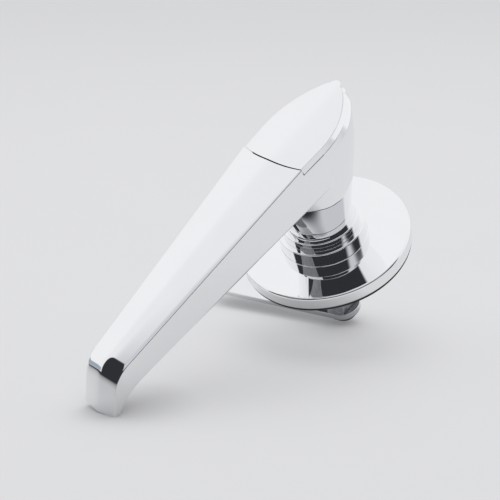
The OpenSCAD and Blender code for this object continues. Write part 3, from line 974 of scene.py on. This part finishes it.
    def build_ring(self) -> bpy.types.Object:
        """Turns the ring under the neck."""
        bore, soft = self.journal_radius + 0.03, 0.4
        outline = rounded([
            (bore, self.ring_foot, 0), (bore, self.neck_foot - 0.02, 0.1),
            (self.ring_radius, self.neck_foot - 0.02, soft),
            (self.ring_radius, self.ring_foot, 0.15),
            (bore + 0.01, self.ring_foot, 0)], 5)
        return Bench.stand_up(Bench.turn("neck_collar", outline))

    def build(self, finishes: Finishes) -> None:
        """Makes and dresses the lever and its ring."""
        dress(self.build_lever(), finishes.chrome, Body.LEVER, "lever_body", finishes.cast)
        dress(self.build_ring(), finishes.chrome, Body.LEVER, "neck_ring")


@dataclass
class KeyholeCover:
    """The pointed cover that lies on the head and swings aside on its pin."""

    shape: LeverShape
    run_gap: float = 0.05
    tip_at: float = -21.6
    tip_round: float = 2.0
    end_at: float = 18.8
    edge_round: float = 0.16
    seam_bevel: float = 0.36
    pin_depth: float = 3.6
    steps: int = 56

    def half_width(self, along: float) -> float:
        """Half the cover's width, with its point rounded off."""
        shape = self.shape
        if along < shape.ogive_at:
            chord = math.sqrt(shape.ogive_radius ** 2 - (along - shape.ogive_at) ** 2)
            out = chord - shape.ogive_centre
        else:
            out = shape.head_width / 2 - (along - shape.ogive_at) * 0.04
        into = along - self.tip_at
        if into < self.tip_round:
            out = min(out, math.sqrt(max(0.0, 2 * self.tip_round * into - into * into)))
        return max(out, 0.05)

    def ring(self, along: float) -> Ring:
        """Gives one section of the cover, in the frame of its pin."""
        shape = self.shape
        soft, half = shape.ridge_soft_root, self.half_width(along)
        share = (along - self.tip_at) / (self.end_at - self.tip_at)
        slant = self.seam_bevel + (shape.cover_bevel - self.seam_bevel) * (1 - share) ** 2
        grow, back = slant * min(1.0, 6 * share), shape.cover_bevel * (1 - share)
        edge, foot = shape.cover_height - shape.roof_drop(half, soft), self.run_gap
        corners = [(half, edge, 0), (half, edge, 0), (half, shape.bevel_height, 0.5),
                   (half + grow, foot, 0.18), (0, foot, 0)]
        lip = max(0.0, min(self.edge_round, 0.4 * half))
        corners[0] = (half - lip, shape.cover_height - shape.roof_drop(half - lip, soft), 0)
        corners[1] = (half, edge, lip)
        roof = [(v, shape.cover_height - d) for v, d in shape.roof(half - lip, soft)]
        outline = mirrored(roof + rounded(corners, 4))
        lean = [back * max(0.0, 1 - z / shape.bevel_height) for _, z in outline]
        return [Vector((along - shape.pin_at - b, v, z)) for (v, z), b in zip(outline, lean)]

    def build_cover(self) -> bpy.types.Object:
        """Lofts the cover from its point, trims it on the seam's arc and drills it for its pin."""
        shape = self.shape
        near = spaced(self.tip_at, self.tip_at + self.tip_round, 10, 1.6)
        far = spaced(self.tip_at + self.tip_round, self.end_at, self.steps, 1.15)[1:]
        piece = Bench.loft("keyhole_cap", [self.ring(along) for along in near + far])
        trim = [(shape.seam_radius, -5), (shape.seam_radius, 15)]
        Bench.combine(piece, Bench.turn("trim", trim, bored=False, sides=720), "INTERSECT")
        bore = shape.pin_radius + self.run_gap
        hole = [(bore, -1), (bore, self.pin_depth)]
        Bench.combine(piece, Bench.turn("hole", hole, bored=False, sides=48))
        piece.data.transform(shape.from_pin)
        return Bench.stand_up(piece)

    def build(self, finishes: Finishes) -> None:
        """Makes and dresses the cover."""
        dress(self.build_cover(), finishes.chrome, Body.COVER, "keyhole_cover")


# ---------------------------------------------------------------- behind the door

@dataclass
class RearFittings:
    """The spindle and the arm that its screw holds behind the door."""

    side: float = 8.0
    end_side: float = 7.0
    depth: float = 26.5
    arm_thick: float = 2.2
    arm_root: float = 12.0
    arm_width: float = 16.4
    arm_length: float = 50.0
    arm_lean: float = 12.0
    washer_radius: float = 5.5
    washer_thick: float = 0.8
    head_radius: float = 4.2
    head_height: float = 2.0
    key_radius: float = 1.75
    bolt_radius: float = 2.47
    bolt_length: float = 10.0
    hole_gap: float = 0.1

    def rounded_square(self, side: float, soft: float) -> list[Point2]:
        """Gives a square with rounded corners."""
        half, quarter = side / 2, 6
        out = []
        for k, (cx, cy) in enumerate(((1, 1), (-1, 1), (-1, -1), (1, -1))):
            for i in range(quarter + 1):
                angle = math.pi / 2 * (k + i / quarter)
                out.append((cx * (half - soft) + soft * math.cos(angle),
                            cy * (half - soft) + soft * math.sin(angle)))
        return out

    def build_spindle(self) -> bpy.types.Object:
        """Draws the square bar and files its end down for the arm."""
        soft = 0.35
        piece = Bench.bar("square_spindle", self.rounded_square(self.side, soft),
                          [(-self.depth, 0.3), (-self.depth + 0.3, 0), (14.4, 0), (14.7, 0.3)])
        end = Bench.bar("end", self.rounded_square(self.end_side, soft),
                        [(-self.depth - self.arm_thick + 0.1, 0), (-self.depth + 1, 0)])
        Bench.combine(piece, end, "UNION")
        return Bench.stand_up(piece)

    def build_arm(self) -> bpy.types.Object:
        """Cuts the flat arm with its round ends, and its square hole."""
        lean = Matrix.Rotation(math.radians(self.arm_lean - 90), 4, "Z")
        far, sides, edge = self.arm_length - self.arm_width / 2, 48, 0.35
        lead = math.asin((self.arm_width - self.arm_root) / 2 / far)
        outline = []
        for at, radius, start, sweep in (
                (far, self.arm_width / 2, -math.pi / 2 - lead, math.pi + 2 * lead),
                (0.0, self.arm_root / 2, math.pi / 2 + lead, math.pi - 2 * lead)):
            turns = (start + sweep * i / sides for i in range(sides + 1))
            outline += [(at + radius * math.cos(a), radius * math.sin(a)) for a in turns]
        low, high = -self.depth - self.arm_thick, -self.depth - 0.03
        piece = Bench.bar("rear_arm", outline, [(low, edge), (low + 0.1, 0.1), (low + edge, 0),
                                                (high - edge, 0), (high - 0.1, 0.1), (high, edge)],
                          lift=lambda point: lean @ point)
        hole = square(self.end_side + 2 * self.hole_gap)
        Bench.combine(piece, Bench.bar("hole", hole, [(low - 1, 0), (high + 1, 0)]))
        return Bench.stand_up(piece)

    def build_screw(self) -> bpy.types.Object:
        """Turns the screw and sinks the hexagon for its key."""
        base = -self.depth - self.arm_thick - self.washer_thick
        foot, soft = base - self.head_height, 0.45
        outline = rounded([(0.3, foot, 0), (self.head_radius, foot, soft),
                           (self.head_radius, base, 0.1), (self.bolt_radius, base, 0.05),
                           (self.bolt_radius, base + self.bolt_length - 0.5, 0.4),
                           (self.bolt_radius - 0.6, base + self.bolt_length, 0.1),
                           (0.3, base + self.bolt_length, 0)], 4)
        piece = Bench.turn("arm_screw", outline, bored=False, sides=96)
        key = Bench.turn("key", [(self.key_radius, foot - 1), (self.key_radius, foot + 1.3)],
                         bored=False, sides=6)
        Bench.combine(piece, key)
        return Bench.stand_up(piece)

    def build_washer(self) -> bpy.types.Object:
        """Turns the washer under the screw."""
        low, bore = -self.depth - self.arm_thick - self.washer_thick, self.bolt_radius + 0.23
        high, soft = low + self.washer_thick - 0.03, 0.15
        outline = rounded([(bore, low, 0), (bore, high, soft), (self.washer_radius, high, soft),
                           (self.washer_radius, low, soft), (bore + 0.01, low, 0)], 3)
        return Bench.stand_up(Bench.turn("arm_washer", outline, sides=96))

    def build(self, finishes: Finishes) -> None:
        """Makes and dresses the pieces behind the door."""
        dress(self.build_spindle(), finishes.zinc, Body.LEVER, "spindle")
        dress(self.build_arm(), finishes.polished, Body.LEVER, "cam_arm")
        dress(self.build_screw(), finishes.black, Body.LEVER, "cam_screw")
        dress(self.build_washer(), finishes.zinc, Body.LEVER, "cam_washer")


# ---------------------------------------------------------------- workings

def dress_workings(finishes: Finishes) -> None:
    """Gives the CAD nodes that stay in view their finishes."""
    by_slot = {"zinc_steel": finishes.zinc, "spring_steel": finishes.spring,
               "bush_brass": finishes.brass, "plug_brass": finishes.brass,
               "lock_nickel": finishes.nickel, "black_screw": finishes.black,
               "chrome": finishes.chrome, "rubber": finishes.rubber,
               "polished_steel": finishes.polished}
    for node, piece in frame["nodes"].items():
        piece.data.materials.clear()
        piece.data.materials.append(by_slot[SLOTS[node]])
        log.info("%s keeps its mesh", node)


# ---------------------------------------------------------------- studio

@dataclass
class Tent:
    """The white tent over and behind the handle, with the dark room on the camera's side.

    A pair gives where along an axis a part starts to show and where it shows in full, as cosines.
    """

    front: Vector
    above: Vector
    paper: Colour
    dark: Colour
    white: Colour = (0.93, 0.932, 0.945)
    shade: Colour = (0.86, 0.868, 0.885)
    hood_grey: Colour = (0.62, 0.63, 0.66)
    haze: Colour = (0.36, 0.41, 0.48)
    fold: tuple[float, float] = (-0.3, 0.22)
    hood_foot: tuple[float, float] = (0.485, 0.56)
    hood_near: tuple[float, float] = (-0.54, -0.48)
    hood_far: tuple[float, float] = (0.50, 0.42)
    room_edge: tuple[float, float] = (0.20, 0.31)
    wedge_side: tuple[float, float] = (0.47, 0.52)
    wedge_foot: tuple[float, float] = (0.225, 0.255)
    strip_top: tuple[float, float] = (0.18, 0.15)
    strip_side: tuple[float, float] = (0.78, 0.86)
    rear: tuple[float, float] = (0.2, 0.0)
    horizon: tuple[float, float] = (0.02, -0.02)

    def hang(self) -> None:
        """Hangs the tent as the scene's world."""
        world = bpy.data.worlds.new("tent")
        world.use_nodes = True
        bpy.context.scene.world = world
        tree = NodeTree(world.node_tree, "Generated")
        front, above = tree.toward(self.front), tree.toward(self.above)
        across = tree.toward(self.front.cross(self.above))

        def where(*edges: tuple[bpy.types.NodeSocket, tuple[float, float]]) -> bpy.types.NodeSocket:
            """Gives the share of a part, which shows within all its edges."""
            spans = [tree.span(axis, *pair, soft=True) for axis, pair in edges]
            return reduce(lambda one, two: tree.both("MULTIPLY", one, two), spans)

        cloth = tree.blend(where((front, self.fold)), self.white, self.shade)
        hood = where((above, self.hood_foot), (across, self.hood_near), (across, self.hood_far))
        room = tree.blend(hood, self.dark, self.hood_grey)
        view = tree.blend(where((front, self.room_edge)), cloth, room)
        wedge = where((across, self.wedge_side), (front, self.wedge_foot))
        strip = where((above, self.strip_top), (across, self.strip_side), (front, self.rear))
        ground = where((above, self.horizon), (front, self.rear))
        backdrop = tree.nodes.new("ShaderNodeLightPath").outputs["Is Camera Ray"]
        for share, colour in ((wedge, self.dark), (strip, self.haze), (ground, self.paper),
                              (backdrop, self.paper)):
            view = tree.blend(share, view, colour)
        light = tree.nodes.new("ShaderNodeBackground")
        tree.links.new(view, light.inputs["Color"])
        tree.links.new(light.outputs["Background"],
                       tree.nodes.new("ShaderNodeOutputWorld").inputs["Surface"])


@dataclass
class Studio:
    """The pale table, the tent and the lamp round it, and the camera."""

    table_normal: Vector = field(default_factory=lambda: Vector((-0.491, -0.854, -0.175)))
    table_depth: float = 0.0296
    table_radius: float = 3.0
    front: Vector = field(default_factory=lambda: Vector((0.578, -0.468, 0.668)))
    # How far the table's painted reflection shade turns aside from the front.
    reflected_shade_turn: float = 0.4
    aim: Vector = field(default_factory=lambda: Vector((0.0192, -0.0090, -0.0138)))
    azimuth: float = 31.47
    elevation: float = 36.45
    roll: float = -115.94
    distance: float = 0.44
    lens: float = 100.8
    paper: Colour = (0.716, 0.718, 0.727)
    dark: Colour = (0.030, 0.032, 0.037)
    lamp_height: float = 0.9
    lamp_back: float = 0.15
    lamp_side: float = 0.7
    lamp_watts: float = 4.0

    def build_table(self) -> None:
        """Lays the table top under the handle."""
        Bench.pick()
        normal = self.table_normal.normalized()
        bpy.ops.mesh.primitive_circle_add(vertices=128, radius=self.table_radius, fill_type="NGON")
        table = bpy.context.object
        table.name = "table"
        table.rotation_mode = "QUATERNION"
        table.rotation_quaternion = normal.to_track_quat("Z", "Y")
        table.location = normal * -self.table_depth
        # The table's painted reflection shade falls toward the front, turned a little to the side.
        left = self.front.cross(self.table_normal).normalized()
        turned = (self.front + self.reflected_shade_turn * left).normalized()
        reflected_shade_facing = table.rotation_quaternion.inverted() @ turned
        table.data.materials.append(TableTop(self.paper, reflected_shade_facing, self.dark).make())

    def build_lamp(self, name: str, place: Vector, size: float, watts: float) -> None:
        """Hangs a soft lamp that lights the table and doesn't show in the chrome.

        Args:
            name: The lamp's name.
            place: Where it hangs.
            size: Its side in metres.
            watts: Its power.
        """
        lamp = bpy.data.lights.new(name, "AREA")
        lamp.shape, lamp.size, lamp.energy = "SQUARE", size, watts
        holder = bpy.data.objects.new(name, lamp)
        holder.location = place
        holder.rotation_mode = "QUATERNION"
        holder.rotation_quaternion = (-place).to_track_quat("-Z", "Y")
        holder.visible_glossy = False
        holder.visible_camera = False
        bpy.context.scene.collection.objects.link(holder)

    def build_camera(self) -> None:
        """Sets up the camera."""
        azimuth, elevation = math.radians(self.azimuth), math.radians(self.elevation)
        back = Vector((math.sin(azimuth) * math.cos(elevation),
                       -math.cos(azimuth) * math.cos(elevation), math.sin(elevation)))
        camera = bpy.data.objects.new("camera", bpy.data.cameras.new("camera"))
        camera.data.lens = self.lens
        camera.rotation_mode = "QUATERNION"
        level = (-back).to_track_quat("-Z", "Y")
        camera.rotation_quaternion = level @ Quaternion((0, 0, 1), math.radians(-self.roll))
        camera.location = self.aim + back * self.distance
        bpy.context.scene.collection.objects.link(camera)
        bpy.context.scene.camera = camera

    def build(self) -> None:
        """Sets up the table, the tent, the lamp and the camera."""
        self.build_table()
        Tent(self.front, self.table_normal, self.paper, self.dark).hang()
        up = self.table_normal.normalized()
        place = up * self.lamp_height - self.front * self.lamp_back
        self.build_lamp("overhead", place, self.lamp_side, self.lamp_watts)
        self.build_camera()
        bpy.context.scene.view_settings.view_transform = "Standard"


# ---------------------------------------------------------------- main

def main() -> None:
    """Builds the handle's pieces in order, then the studio."""
    logging.basicConfig(level=logging.INFO, format="%(name)s: %(message)s")
    finishes = Finishes()
    shape = LeverShape()
    dress_workings(finishes)
    for part in (Rose(), Lever(shape), KeyholeCover(shape), RearFittings()):
        log.info("building %s", type(part).__name__)
        part.build(finishes)
    Studio().build()


if __name__ == "__main__":
    main()
